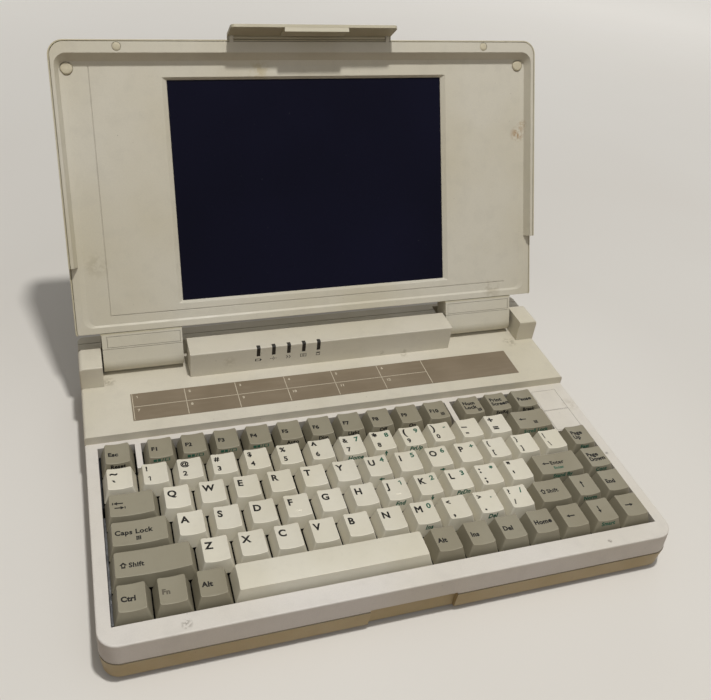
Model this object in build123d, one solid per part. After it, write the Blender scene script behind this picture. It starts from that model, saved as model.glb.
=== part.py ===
from build123d import *
import os

os.makedirs("parts", exist_ok=True)

# Portable computer with a hinged screen lid, lid open. Millimetres.
# The shapes are drawn about the middle of the base's footprint; +Z up, front at -Y.
# They are saved about the middle of the opened machine on the table, CENTRE_Y further back.
CENTRE_Y = 34.5

# Base
WIDTH = 310.0
DEPTH = 214.0
FRONT = -DEPTH / 2
REAR = DEPTH / 2
SIDE = WIDTH / 2
WALL = 2.2
FRONT_RADIUS = 10.0
REAR_RADIUS = 4.0
BOTTOM_Z = 2.0
PARTING_Z = 14.0
SHELL_Z = 14.3
FRAME_Z = 26.5
FRAME_FOOT = 0.4
FRAME_LEAN = 1.5
DECK_Z = 32.0
RIDGE_Y = 93.5
RIDGE_Z = 42.4
DECK_FRONT = 25.0
NOTCH_HALF = 24.0
NOTCH_DEPTH = 3.0

# Keyboard
PITCH = 19.0
FIELD_HALF = 147.25
FIELD_FRONT = -94.0
FILLER_LEFT = 128.25
KEY_BASE_Z = 22.6
KEY_TOP_Z = 31.4
KEY_TOP_INSET = 2.65
KEY_TOP_DEPTH = 14.8
KEY_TOP_SHIFT = 0.6
DISH_DEPTH = 0.8
SPACE_BAR_CURVE = 60.0
PLATE_Z = 18.5

# Lid, in its own frame: X along the hinge, Y up the screen, Z towards the user
HINGE_Y = 84.5
HINGE_Z = 39.3
LID_TILT = 64.2
LID_LOW = 17.3
LID_TOP = 190.3
RIM_END = 60.0
FACE = 7.0
RIM = 12.5
PANEL = 6.2
BACK = -10.7
SWEEP_RADIUS = 19.5
BARREL_RADIUS = 7.0
BARREL_X = ((-140.3, -91.4), (89.7, 138.9))
ARM_SWEEP = 19.1
LATCH_PIN = (191.7, 11.1)
LATCH_REST = 12.0
FLAP_HALF = 52.0
EAR_X = (48.6, 51.0)

LID = Pos(0, HINGE_Y, HINGE_Z) * Rot(LID_TILT, 0, 0)
BOTH_SIDES = (-1, 1)


def block(x, y, z):
    """Box between the limits given for each axis."""
    limits = (x, y, z)
    size = [high - low for low, high in limits]
    middle = [(high + low) / 2 for low, high in limits]
    return Pos(*middle) * Box(*size)


def rod_x(radius, x, y, z):
    """Cylinder along X between the limits x."""
    return Pos((x[0] + x[1]) / 2, y, z) * Rot(0, 90, 0) * Cylinder(radius, x[1] - x[0])


def rod_y(radius, x, y, z):
    """Cylinder along Y between the limits y."""
    return Pos(x, (y[0] + y[1]) / 2, z) * Rot(90, 0, 0) * Cylinder(radius, y[1] - y[0])


def rod_z(radius, x, y, z):
    """Cylinder along Z between the limits z."""
    return Pos(x, y, (z[0] + z[1]) / 2) * Cylinder(radius, z[1] - z[0])


def both(low, high, side):
    """Limits low to high, mirrored for side -1."""
    return (low, high) if side > 0 else (-high, -low)


def save(node, solids):
    """Write one node; a list becomes a group of separate solids."""
    group = solids if isinstance(solids, list) else [solids]
    group = [Pos(0, -CENTRE_Y, 0) * solid for solid in group]
    shape = Compound(children=group) if len(group) > 1 else group[0]
    shape.label = node
    export_step(shape, f"parts/{node}.step")


# Base shells


def base_plan(inset=0.0, lean=0.0):
    """Base outline from above, moved in by inset, and its front edge by lean as well."""
    plan = Pos(0, lean / 2) * Rectangle(WIDTH - 2 * inset, DEPTH - 2 * inset - lean)
    plan = fillet(plan.vertices().sort_by(Axis.Y)[:2], FRONT_RADIUS - inset)
    return fillet(plan.vertices().sort_by(Axis.Y)[-2:], REAR_RADIUS - min(inset, 3.0))


def base_slab(inset, z):
    """Base outline extruded between the heights z."""
    return Pos(0, 0, z[0]) * extrude(base_plan(inset), z[1] - z[0])


SCREWS = [(-146, -99.2), (-60, -99.2), (60, -99.2), (146, -99.2), (-146, 99.6), (146, 99.6)]
BATTERY_BAY = ((-147, -93), (-12, 92))
DRIVE_BAY_Y = (-71.3, 30.9)


def lower_housing():
    """Bottom tray with the front latch notch, battery bay and screw bosses."""
    tray = Pos(0, 0, PARTING_Z) * extrude(base_plan(), PARTING_Z - BOTTOM_Z, dir=(0, 0, -1), taper=5)
    tray = chamfer(tray.faces().sort_by(Axis.Z)[0].edges(), 1.0)
    tray -= base_slab(0.4 + WALL, (BOTTOM_Z + WALL, PARTING_Z))
    notch_wall = (FRONT + 1.5, FRONT + NOTCH_DEPTH + 2.2)
    tray += block((-NOTCH_HALF - 2.2, NOTCH_HALF + 2.2), notch_wall, (BOTTOM_Z + 1, PARTING_Z))
    tray -= block((-NOTCH_HALF, NOTCH_HALF), (FRONT - 1, FRONT + NOTCH_DEPTH), (0, PARTING_Z))
    for x, y in SCREWS:
        tray += rod_z(3.5, x, y, (BOTTOM_Z + 1, PARTING_Z))
        tray -= rod_z(1.5, x, y, (0, PARTING_Z))
        tray -= rod_z(3.0, x, y, (0, BOTTOM_Z + 1.8))
    bay_x, bay_y = BATTERY_BAY
    tray -= block(bay_x, bay_y, (0, BOTTOM_Z + 1.4))
    tray -= block((bay_x[0] + 2, bay_x[1] - 2), (bay_y[0] + 2, bay_y[1] - 2), (0, PARTING_Z))
    tray -= block((SIDE - 5, SIDE + 1), DRIVE_BAY_Y, (4.6, PARTING_Z))
    return tray


def key_opening():
    """Space cut out of the frame for the keys."""
    opening = block((-148.2, 148.2), (-95.1, 21), (17, 30))
    opening -= block((FILLER_LEFT + 0.3, 150), (-17.7, 22), (16, 31))
    for left in (-127.6, 67.2):
        opening -= block((left, left + 3.4), (1.6, 22), (21, 31))
    return opening


FILLER_ROWS = ((-16.9, 0.8), (1.2, 19.6))


def keyboard_frame():
    """Front cover around the keys, its front wall leaning back from the parting line up."""
    foot = Pos(0, 0, SHELL_Z) * base_plan(lean=FRAME_FOOT)
    shell = loft([foot, Pos(0, 0, FRAME_Z) * base_plan(lean=FRAME_LEAN)])
    shell = fillet(shell.faces().sort_by(Axis.Z)[-1].edges(), 0.8)
    shell -= base_slab(WALL, (SHELL_Z, FRAME_Z - WALL))
    shell += block((-149.6, 149.6), (-96.5, 22.4), (19, FRAME_Z - WALL))
    shell -= block((-160, 160), (DECK_FRONT, 120), (0, 60))
    shell -= key_opening()
    shell -= block((FILLER_LEFT + 2, 147), (-16, 20), (17, FRAME_Z - 1.8))
    for row in FILLER_ROWS:
        shell -= block((FILLER_LEFT + 1.1, 147.2), row, (FRAME_Z - 1.2, 30))
    for x, y in SCREWS[:4]:
        shell += rod_z(3.5, x, y, (SHELL_Z, FRAME_Z - 1))
        shell -= rod_z(1.5, x, y, (SHELL_Z, 20))
    shell -= block((SIDE - 5, SIDE + 1), DRIVE_BAY_Y, (10, 17.3))
    shell -= block((-NOTCH_HALF, NOTCH_HALF), (FRONT - 1, FRONT + WALL), (SHELL_Z, SHELL_Z + 0.9))
    return shell


def filler_plates():
    """Two blank plates beside the function keys."""
    return [
        block((FILLER_LEFT + 1.3, 147.0), (row[0] + 0.2, row[1] - 0.2), (FRAME_Z - 1.2, FRAME_Z))
        for row in FILLER_ROWS
    ]


PORTS = {"parallel": (84.0, 39.5, 54.0), "video": (34.0, 17.5, 31.0), "serial": (-4.0, 17.5, 31.0)}
JACK_X = -66.0
PORT_Z = 21.0


def post_outline(inset):
    """Side view of a hinge post, moved in by inset."""
    top = 47.3 - inset
    front = 68 + inset
    rear = 95 - inset
    slope = [(87 - 0.35 * inset, top), (rear, 41.3 - 0.5 * inset)]
    return Plane.YZ * Polygon((front, 26), (front, top), *slope, (rear, 26), align=None)


def hinge_post(side):
    """Raised end post that covers one hinge bracket."""
    post = Pos(SIDE - 13.7, 0, 0) * extrude(post_outline(0), 13.7, dir=(1, 0, 0))
    outer_top = post.faces().sort_by(Axis.X)[-1].edges().sort_by(Axis.Z)[-2:]
    post = fillet(outer_top, 2.5)
    front_top = post.edges().filter_by(Axis.X).group_by(Axis.Z)[-1].sort_by(Axis.Y)[0]
    post = fillet(front_top, 0.9)
    post -= Pos(SIDE - 11.7, 0, 0) * extrude(post_outline(2), 9.5, dir=(1, 0, 0))
    post -= rod_x(3.5, (SIDE - 15, SIDE - 10), HINGE_Y, HINGE_Z)
    return post if side > 0 else mirror(post, Plane.YZ)


def rear_deck():
    """Raised rear cover with hinge posts, port openings and a ridge the lid arms swing into."""
    deck = base_slab(0, (SHELL_Z, DECK_Z))
    deck = fillet(deck.faces().sort_by(Axis.Z)[-1].edges(), 1.6)
    ridge = base_slab(0, (SHELL_Z, RIDGE_Z))
    ridge = fillet(ridge.faces().sort_by(Axis.Z)[-1].edges(), 1.0)
    ridge -= block((-160, 160), (99.2, 99.8), (RIDGE_Z - 0.5, RIDGE_Z + 1))
    for low, high in BARREL_X:
        swing = rod_x(ARM_SWEEP, (low - 0.5, high + 0.5), HINGE_Y, HINGE_Z)
        ridge -= swing & block((-160, 160), (90, 110), (DECK_Z, 60))
    deck += ridge & block((-160, 160), (RIDGE_Y, 110), (0, 60))
    hollow = base_slab(WALL, (SHELL_Z, DECK_Z - WALL))
    hollow += block((-86.8, 86.8), (RIDGE_Y + WALL, REAR - WALL), (20, RIDGE_Z - WALL))
    deck -= hollow & block((-160, 160), (DECK_FRONT + WALL, 110), (0, 60))
    deck -= block((-160, 160), (-110, DECK_FRONT), (0, 60))
    deck -= block((-SIDE + WALL, SIDE - WALL), (DECK_FRONT - 1, DECK_FRONT + WALL), (0, 22))
    post_hole = block((SIDE - 11.7, SIDE - WALL), (70, 95), (20, DECK_Z + 3))
    for side in BOTH_SIDES:
        deck -= post_hole if side > 0 else mirror(post_hole, Plane.YZ)
        deck += hinge_post(side)
    for x, y in SCREWS[4:]:
        deck += rod_z(3.5, x, y, (SHELL_Z, DECK_Z - 1))
        deck -= rod_z(1.5, x, y, (SHELL_Z, 20))
    for x, _, flange in PORTS.values():
        deck -= block((x - flange / 2 - 1, x + flange / 2 + 1), (REAR - 4, REAR + 1), (14.5, 28.0))
    deck -= rod_y(4.8, JACK_X, (REAR - 4, REAR + 1), PORT_Z)
    deck -= block((SIDE - 5, SIDE + 1), DRIVE_BAY_Y, (10, 17.3))
    deck -= block((SIDE - 3, SIDE + 1), (56, 68), (19.0, 23.4))
    return deck


BAR_Y = (67.9, 86.0)
BAR_TOP = 49.6
WINDOW_X = [-45.5 + 9.95 * i for i in range(5)]


def bar_solid():
    """Outside of the status bar."""
    bar = block((-88.7, 88.7), BAR_Y, (DECK_Z, BAR_TOP))
    return fillet(bar.edges().filter_by(Axis.X).group_by(Axis.Z)[-1], 0.7)


def window_space(x):
    """Corner slot for one indicator window."""
    return block((x - 1.2, x + 1.2), (BAR_Y[0] - 1, BAR_Y[0] + 2.8), (BAR_TOP - 6.6, BAR_TOP + 1))


def status_bar():
    """Hollow centre bar between the hinges, with slots for the indicators."""
    bar = bar_solid()
    bar -= block((-86.9, 86.9), (BAR_Y[0] + 1.8, BAR_Y[1] - 1.8), (DECK_Z, BAR_TOP - 1.8))
    for x in WINDOW_X:
        bar -= window_space(x)
    return bar


def status_windows():
    """Indicator windows that wrap over the bar's front edge."""
    return [bar_solid() & window_space(x) for x in WINDOW_X]


# Inside the base


def board_outline():
    """Main board: wide under the deck, with a tongue under the keys."""
    return block((-85, 140), (34, 104), (12.4, 14.0)) + block((-45, 20), (-90, 34), (12.4, 14.0))


def main_board():
    """Main circuit board with its larger chips."""
    board = board_outline()
    board += block((-30, -4), (52, 78), (14.0, 17.5))
    for i in range(4):
        board += block((8 + 20 * i, 22 + 20 * i), (42, 66), (14.0, 16.4))
    for i in range(4):
        board += block((-36, -22), (-80 + 22 * i, -66 + 22 * i), (14.0, 16.2))
        board += block((-8, 8), (-80 + 22 * i, -68 + 22 * i), (14.0, 16.4))
    board += block((-60, -40), (60, 92), (14.0, 20.0))
    return board


SLOT = ((58, SIDE), (-66, 27), (9.6, 14.4))


def floppy_drive():
    """Slim disk drive with its front panel in the right side wall."""
    drive = block((26, 152.2), (-70.9, 30.5), (4.7, 16.9))
    drive += block((152, 154.2), (-70.9, 30.5), (4.9, 16.9))
    drive -= block(SLOT[0], SLOT[1], SLOT[2])
    drive -= block((140, 160), (14.6, 24.0), (5.4, 8.6))
    return drive


def eject_button():
    """Push button under the disk slot."""
    button = block((148, 155.4), (15.0, 23.6), (5.8, 8.2))
    return fillet(button.faces().sort_by(Axis.X)[-1].edges(), 0.5)


def hard_drive():
    """Small hard disk with a stepped lid."""
    drive = block((-150, -50), (-90, -20), (4.4, 14.5))
    return drive + block((-148, -60), (-88, -22), (14.5, 16.8))


def battery_pack():
    """Battery block over its bay in the bottom."""
    pack = block((-150, -90), (-15, 95), (4.3, 16.8))
    return fillet(pack.edges().filter_by(Axis.Y), 3.0)


def battery_cover():
    """Flush cover of the battery bay, with a finger groove."""
    bay_x, bay_y = BATTERY_BAY
    cover = block((bay_x[0] + 0.2, bay_x[1] - 0.2), (bay_y[0] + 0.2, bay_y[1] - 0.2), (2.0, 3.4))
    return cover - block((-130, -110), (-8, -4), (1.0, 2.7))


def d_shell(x, width, inset=0.0):
    """D-shaped connector face, seen from behind."""
    half = width / 2 - inset
    high = 4.2 - inset
    points = [(-half, high), (half, high), (half - 1.6, -high), (-half + 1.6, -high)]
    face = fillet(Polygon(*points, align=None).vertices(), 1.5 - inset)
    return Pos(x, 0, PORT_Z) * (Plane.XZ * face)


def port_connector(x, width, flange):
    """Connector body on the board with its shell through the rear wall."""
    body = block((x - flange / 2, x + flange / 2), (90, 104), (14.0, 27.5))
    shell = Pos(0, 104, 0) * extrude(d_shell(x, width), 4.4, dir=(0, 1, 0))
    shell -= Pos(0, 107.4, 0) * extrude(d_shell(x, width, 0.5), 2, dir=(0, 1, 0))
    for side in BOTH_SIDES:
        body += rod_y(2.2, x + side * (flange / 2 - 3.4), (104, 106.6), PORT_Z)
    return body + shell


def power_jack():
    """Round inlet for the supply plug, with its centre contact."""
    jack = block((JACK_X - 6, JACK_X + 6), (90, 104), (14.0, 27.0))
    jack += rod_y(4.5, JACK_X, (103, 106.6), PORT_Z)
    jack -= rod_y(2.8, JACK_X, (96, 110), PORT_Z)
    return jack + rod_y(1.0, JACK_X, (95, 104), PORT_Z)


def power_switch():
    """Slide switch knob in the right side wall."""
    knob = block((151, 156.3), (57.0, 62.6), (19.6, 22.8))
    knob = fillet(knob.faces().sort_by(Axis.X)[-1].edges(), 0.6)
    return knob + block((150, 151.8), (53, 66.6), (17.5, 25))


def rubber_feet():
    """Four round feet under the corners."""
    return [rod_z(6, x, y, (0, BOTTOM_Z)) for x in (-132, 132) for y in (-88, 84)]


def case_screws():
    """Screws that hold the bottom tray to the two covers."""
    return [rod_z(2.7, x, y, (2.2, 3.8)) + rod_z(1.5, x, y, (3.8, 19)) for x, y in SCREWS]


def hinge_bracket(side):
    """Steel bracket in a post that carries the end of a hinge shaft."""
    x = both(144.0, 151.5, side)
    bracket = block(x, (79.5, 89.5), (17.2, HINGE_Z)) + rod_x(5.0, x, HINGE_Y, HINGE_Z)
    bracket += block(x, (71.5, 94), (17.2, 19.6))
    return bracket - rod_x(3.05, both(140, 155, side), HINGE_Y, HINGE_Z)


# Keyboard


def place_x(units):
    return units * PITCH - FIELD_HALF


def place_y(row):
    return FIELD_FRONT + (row + 0.5) * PITCH


def span(first, count):
    """Positions of single keys beside each other."""
    return [(first + i, 1.0) for i in range(count)]


# node: (row counted from the front, [(centre, width) in key units])
KEYS = {
    "keys_function": (5, span(1.75, 10)),
    "keys_system": (5, span(12.0, 3)),
    "keys_number_row": (4, span(0.5, 13)),
    "keys_upper_row": (3, span(2.0, 13)),
    "keys_home_row": (2, span(2.25, 11)),
    "keys_lower_row": (1, span(2.75, 10)),
    "key_escape": (5, [(0.5, 1.0)]),
    "key_backspace": (4, [(13.75, 1.5)]),
    "key_tab": (3, [(0.75, 1.5)]),
    "key_caps_lock": (2, [(0.875, 1.75)]),
    "key_enter": (2, [(13.625, 1.75)]),
    "key_left_shift": (1, [(1.125, 2.25)]),
    "key_right_shift": (1, [(12.875, 1.25)]),
    "key_control": (0, [(0.5, 1.0)]),
    "key_fn": (0, [(1.5, 1.0)]),
    "key_left_alt": (0, [(2.5, 1.0)]),
    "key_space": (0, [(5.75, 5.5)]),
    "key_right_alt": (0, [(9.0, 1.0)]),
    "key_arrow_up": (1, [(14.0, 1.0)]),
    "key_arrow_left": (0, [(13.0, 1.0)]),
    "key_arrow_down": (0, [(14.0, 1.0)]),
    "key_arrow_right": (0, [(15.0, 1.0)]),
}
NAVIGATION = [(10.0, 0), (11.0, 0), (12.0, 0), (15.0, 1), (15.0, 2), (15.0, 3)]


def cap_loft(width, shrink, z):
    """Tapered cap body between the heights z, smaller by shrink all round."""
    depth = PITCH - 0.7
    base = RectangleRounded(width - 2 * shrink, depth - 2 * shrink, 1.0)
    top = RectangleRounded(width - 2 * (KEY_TOP_INSET + shrink), KEY_TOP_DEPTH - 2 * shrink, 1.2)
    return loft([Pos(0, 0, z[0]) * base, Pos(0, KEY_TOP_SHIFT, z[1]) * top])


def stem_offsets(width):
    return (-38, 0, 38) if width > 80 else (0,)


def keycap(units):
    """Hollow key top with its stem; the space bar is domed, the others dished."""
    width = units * PITCH - 0.7
    cap = cap_loft(width, 0, (KEY_BASE_Z, KEY_TOP_Z))
    if units > 3:
        cap &= rod_x(SPACE_BAR_CURVE, (-60, 60), KEY_TOP_SHIFT, KEY_TOP_Z - SPACE_BAR_CURVE)
    else:
        radius = (width / 2 - KEY_TOP_INSET) ** 2 / (2 * DISH_DEPTH)
        cap -= rod_y(radius, 0, (-12, 12), KEY_TOP_Z - DISH_DEPTH + radius)
    cap -= cap_loft(width, 1.3, (KEY_BASE_Z, KEY_TOP_Z - 2.2))
    for x in stem_offsets(width):
        cap += block((x - 2, x + 2), (-2, 2), (KEY_BASE_Z - 0.1, KEY_TOP_Z - 2.0))
    return cap


CAPS = {units: keycap(units) for units in (1.0, 1.25, 1.5, 1.75, 2.25, 5.5)}


def key_at(centre, row, units):
    """Key cap at its place in the field."""
    return Pos(place_x(centre), place_y(row), 0) * CAPS[units]


def homing_bar(centre):
    """Small raised bar near the front of a home key."""
    bar = RectangleRounded(3.4, 1.2, 0.5)
    return Pos(place_x(centre), place_y(2) - 3.2, KEY_TOP_Z - 1.0) * extrude(bar, 0.65)


def key_group(node):
    """All caps of one node."""
    row, places = KEYS[node]
    caps = [key_at(centre, row, units) for centre, units in places]
    if node == "keys_home_row":
        for index in (3, 6):
            caps[index] += homing_bar(places[index][0])
    return caps


def guide(x, y):
    """Fixed housing that a key stem slides in."""
    body = block((x - 4, x + 4), (y - 4, y + 4), (PLATE_Z, PLATE_Z + 6))
    return body - block((x - 2.4, x + 2.4), (y - 2.4, y + 2.4), (PLATE_Z + 0.6, 26))


def key_guides():
    """Housings under all the keys."""
    centres = [(c, row, units) for row, places in KEYS.values() for c, units in places]
    centres += [(c, row, 1.0) for c, row in NAVIGATION]
    return [
        guide(place_x(c) + x, place_y(row))
        for c, row, units in centres
        for x in stem_offsets(units * PITCH)
    ]


# Lid


def lid_plan(inset):
    """Lid outline, moved in by inset."""
    height = LID_TOP - LID_LOW - 2 * inset
    plan = Pos(0, (LID_TOP + LID_LOW) / 2) * Rectangle(WIDTH - 2 * inset, height)
    plan = fillet(plan.vertices().sort_by(Axis.Y)[:2], 2.5 - min(inset, 2.0))
    return fillet(plan.vertices().sort_by(Axis.Y)[-2:], 9.0 - inset)


def lid_slab(inset, z):
    """Lid outline extruded between the depths z."""
    return Pos(0, 0, z[0]) * extrude(lid_plan(inset), z[1] - z[0])


def hinge_sweep(radius):
    """Room around the hinge axis between the barrels and outside them."""
    room = rod_x(radius, (-91.2, 89.2), 0, 0)
    room += rod_x(radius, (-160, -140.8), 0, 0)
    return room + rod_x(radius, (139.4, 160), 0, 0)


def latch_room():
    """Room in the lid's top edge for the latch knuckle."""
    return rod_x(1.9, (-FLAP_HALF - 0.3, FLAP_HALF + 0.3), *LATCH_PIN)


def lid_back_shell():
    """Outer shell of the lid."""
    shell = lid_slab(0, (BACK, RIM - 0.15))
    shell = fillet(shell.faces().sort_by(Axis.Z)[0].edges(), 3.0)
    shell -= hinge_sweep(SWEEP_RADIUS)
    hollow = lid_slab(WALL, (BACK + WALL, RIM))
    shell -= hollow - rod_x(SWEEP_RADIUS + WALL, (-160, 160), 0, 0)
    shell -= block((-160, 160), (0, RIM_END), (FACE - 0.15, RIM))
    shell -= lid_slab(0.75, (RIM - 1.3, RIM))
    shell -= lid_slab(0.75, (FACE - 1.3, RIM)) & block((-160, 160), (0, RIM_END), (0, RIM))
    for side in BOTH_SIDES:
        shell -= block(both(EAR_X[0] - 0.2, EAR_X[1] + 0.2, side), (188, 192), (9.2, RIM))
    shell -= latch_room()
    return shell


def window_plan(x, y, radius):
    """Rounded rectangle between the given limits."""
    plan = RectangleRounded(2 * x, y[1] - y[0], radius)
    return Pos(0, (y[0] + y[1]) / 2) * plan


def step_loft(outer, outer_z, inner, inner_z):
    """Sloped edge between two outlines."""
    return loft([Pos(0, 0, inner_z) * inner, Pos(0, 0, outer_z) * outer])


def bezel_body(edge_z, low_z):
    """Bezel plate with a lip inside the shell's edge, a thin gap between them."""
    plate = lid_slab(WALL + 0.15, (low_z, edge_z))
    plate -= rod_x(SWEEP_RADIUS + WALL + 0.15, (-160, 160), 0, 0)
    return plate + lid_slab(1.15, (edge_z - 1.1, edge_z))


def latch_ears():
    """Ears on the rim that carry the ends of the latch pin."""
    ears = []
    for side in BOTH_SIDES:
        x = both(*EAR_X, side)
        ear = rod_x(1.9, x, *LATCH_PIN) + block(x, (186, 191.7), (9.4, RIM))
        ears.append(ear - rod_x(0.8, x, *LATCH_PIN))
    return ears


CAP_PLACES = [(-116.8, 186.4), (116.8, 186.4)]
BUMPER_PLACES = [(-145.4, 175.0), (144.9, 175.0)]


def lid_bezel():
    """Frame around the screen with its raised rim."""
    rim = bezel_body(RIM, 4.2) & block((-160, 160), (RIM_END, 200), (0, 20))
    low = bezel_body(FACE, 4.2) & block((-160, 160), (0, RIM_END), (0, 20))
    bezel = rim + low
    rim_inner = window_plan(152.0, (0, 182.9), 7)
    wall_foot = window_plan(149.8, (0, 179.0), 5.5)
    bezel -= step_loft(rim_inner, RIM, wall_foot, FACE)
    bezel -= step_loft(window_plan(149.8, (22.2, 179.0), 5.5), FACE, window_plan(146.6, (23.4, 176.2), 5), PANEL)
    bezel -= step_loft(window_plan(92, (32.9, 169.6), 0.6), PANEL, window_plan(88.9, (34.4, 168.1), 0.5), 4.2)
    bezel -= block((-133.7, -133.2), (28.7, 176), (PANEL - 0.3, 7))
    bezel -= block((-133.7, 135), (28.45, 28.95), (PANEL - 0.3, 7))
    bezel -= hinge_sweep(SWEEP_RADIUS)
    bezel -= latch_room()
    for ear in latch_ears():
        bezel += ear
    bezel -= rod_x(0.8, (-EAR_X[1], EAR_X[1]), *LATCH_PIN)
    for x, y in CAP_PLACES:
        bezel -= rod_z(2.6, x, y, (RIM - 1, 20))
    for x, y in BUMPER_PLACES:
        bezel -= rod_z(3.7, x, y, (5.4, 12))
    return bezel


COVER_PLATE_X = ((-137.0, -92.8), (91.5, 137.4))
SHAFT_X = (112, 151.5)


def hinge_barrel(side):
    """Round-ended arm of the lid that turns about a shaft."""
    x = BARREL_X[side > 0]
    low, high = COVER_PLATE_X[side > 0]
    arm = block(x, (0, LID_LOW), (-BARREL_RADIUS, FACE)) + rod_x(BARREL_RADIUS, x, 0, 0)
    arm -= block((low - 0.2, high + 0.2), (9.0, 16.0), (FACE - 0.8, 8))
    arm -= block(x, (7.9, 8.2), (FACE - 0.25, 8))
    return arm - rod_x(3.0, both(SHAFT_X[0], 145, side), 0, 0)


def hinge_cover_plates():
    """Inset plates on the front of the barrels."""
    return [block(x, (9.2, 15.8), (FACE - 0.8, FACE - 0.05)) for x in COVER_PLATE_X]


def display_frame():
    """Metal back frame of the display."""
    plate = block((-99, 99), (24, 178), (-1.2, 1.0))
    return plate - block((-80, 80), (45, 157), (-2, 2))


def inverter_board():
    """Supply board of the backlight, beside the display."""
    board = block((104, 146), (40, 150), (-3.2, -1.6))
    board += block((108, 124), (46, 62), (-1.6, 2.4))
    for i in range(3):
        board += block((128, 140), (70 + 24 * i, 84 + 24 * i), (-1.6, 1.4))
    return board


def rim_caps():
    """Round plugs in the top rim."""
    return [rod_z(2.5, x, y, (RIM - 1, RIM)) for x, y in CAP_PLACES]


def lid_bumpers():
    """Soft round pads in the upper corners of the recess."""
    pads = [rod_z(3.6, x, y, (5.4, 7.4)) for x, y in BUMPER_PLACES]
    return [fillet(pad.faces().sort_by(Axis.Z)[-1].edges(), 0.9) for pad in pads]


def turned_latch(shape):
    """Latch piece turned from its latched to its resting place."""
    axis = Axis((0, *LATCH_PIN), (1, 0, 0))
    return shape.rotate(axis, -LATCH_REST)


def latch_flap():
    """Long flap that swings down over the base's front edge."""
    outline = Pos(0, 7.6) * Rectangle(2 * FLAP_HALF, 15.2)
    outline = fillet(outline.vertices().sort_by(Axis.Y)[-2:], 2.5)
    plate = Pos(0, 194.1, LATCH_PIN[1]) * (Plane.XZ * outline)
    flap = extrude(plate, 1.8, dir=(0, -1, 0)) + rod_x(1.3, (-FLAP_HALF, FLAP_HALF), *LATCH_PIN)
    for side in BOTH_SIDES:
        flap -= block(both(EAR_X[0] - 0.3, EAR_X[1] + 0.3, side), (188, 196), (9, 13.2))
    return flap - rod_x(0.85, (-60, 60), *LATCH_PIN)


def latch_hook():
    """Catch at the flap's edge that grips the notch in the base."""
    hook = block((-20, 20), (189.8, 192.3), (24.9, 26.3))
    return hook + block((-20, 20), (191.8, 192.3), (13.6, 24.9))


BASE_NODES = {
    "lower_housing": lower_housing(),
    "keyboard_frame": keyboard_frame(),
    "rear_deck": rear_deck(),
    "status_bar": status_bar(),
    "status_windows": status_windows(),
    "label_strip": block((-126.7, 126.7), (34.2, 58.0), (DECK_Z, DECK_Z + 0.25)),
    "filler_plates": filler_plates(),
    "keyboard_plate": block((-147, 147), (-94, 20.5), (PLATE_Z - 1, PLATE_Z)),
    "key_guides": key_guides(),
    "main_board": main_board(),
    "floppy_drive": floppy_drive(),
    "eject_button": eject_button(),
    "hard_drive": hard_drive(),
    "battery_pack": battery_pack(),
    "battery_cover": battery_cover(),
    "port_connectors": [port_connector(*port) for port in PORTS.values()],
    "power_jack": power_jack(),
    "power_switch": power_switch(),
    "rubber_feet": rubber_feet(),
    "case_screws": case_screws(),
    "hinge_brackets": [hinge_bracket(side) for side in BOTH_SIDES],
    "keys_navigation": [key_at(centre, row, 1.0) for centre, row in NAVIGATION],
}

LID_NODES = {
    "lid_back_shell": lid_back_shell(),
    "lid_bezel": lid_bezel(),
    "hinge_barrels": [hinge_barrel(side) for side in BOTH_SIDES],
    "hinge_cover_plates": hinge_cover_plates(),
    "hinge_shafts": [rod_x(3.0, both(*SHAFT_X, side), 0, 0) for side in BOTH_SIDES],
    "display_panel": block((-95, 95), (28, 174.5), (1.0, 4.1)),
    "display_frame": display_frame(),
    "inverter_board": inverter_board(),
    "rim_caps": rim_caps(),
    "lid_bumpers": lid_bumpers(),
    "latch_pin": rod_x(0.8, (-EAR_X[1], EAR_X[1]), *LATCH_PIN),
    "latch_flap": turned_latch(latch_flap()),
    "latch_hook": turned_latch(latch_hook()),
}

for node, shape in BASE_NODES.items():
    save(node, shape)

for node in KEYS:
    save(node, key_group(node))

for node, shape in LID_NODES.items():
    save(node, [LID * solid for solid in shape] if isinstance(shape, list) else LID * shape)
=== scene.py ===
from math import cos, pi, radians, sin

import bpy
import numpy as np
from mathutils import Matrix, Vector


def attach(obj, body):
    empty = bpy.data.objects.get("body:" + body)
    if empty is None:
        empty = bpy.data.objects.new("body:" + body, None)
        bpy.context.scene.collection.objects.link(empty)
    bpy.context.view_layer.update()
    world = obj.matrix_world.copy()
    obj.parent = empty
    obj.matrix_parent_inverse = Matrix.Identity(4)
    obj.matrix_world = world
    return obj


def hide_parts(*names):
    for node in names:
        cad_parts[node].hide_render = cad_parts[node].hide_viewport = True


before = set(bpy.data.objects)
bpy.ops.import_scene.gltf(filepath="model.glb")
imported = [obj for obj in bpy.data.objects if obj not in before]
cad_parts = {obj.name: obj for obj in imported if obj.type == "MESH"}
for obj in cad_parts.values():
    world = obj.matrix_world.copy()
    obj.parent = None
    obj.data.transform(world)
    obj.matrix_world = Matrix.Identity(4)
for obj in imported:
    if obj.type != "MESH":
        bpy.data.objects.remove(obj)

for start_object in ("Cube", "Light", "Camera"):
    if start_object in bpy.data.objects:
        bpy.data.objects.remove(bpy.data.objects[start_object])
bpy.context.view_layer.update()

# Sizes in millimetres, drawn about the middle of the base's footprint as in the part's source.
# Every mesh is moved forward by CENTRE_Y, to the middle of the opened machine.
MM = 0.001
CENTRE_Y = 34.5
PITCH = 19.0
FIELD_HALF = 147.25
FIELD_FRONT = -94.0
KEY_GAP = 0.7
KEY_BASE_Z = 22.6
KEY_TOP_Z = 31.4
KEY_HEIGHT = KEY_TOP_Z - KEY_BASE_Z
KEY_WALL = 1.3
KEY_ROOF = 2.2
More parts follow.
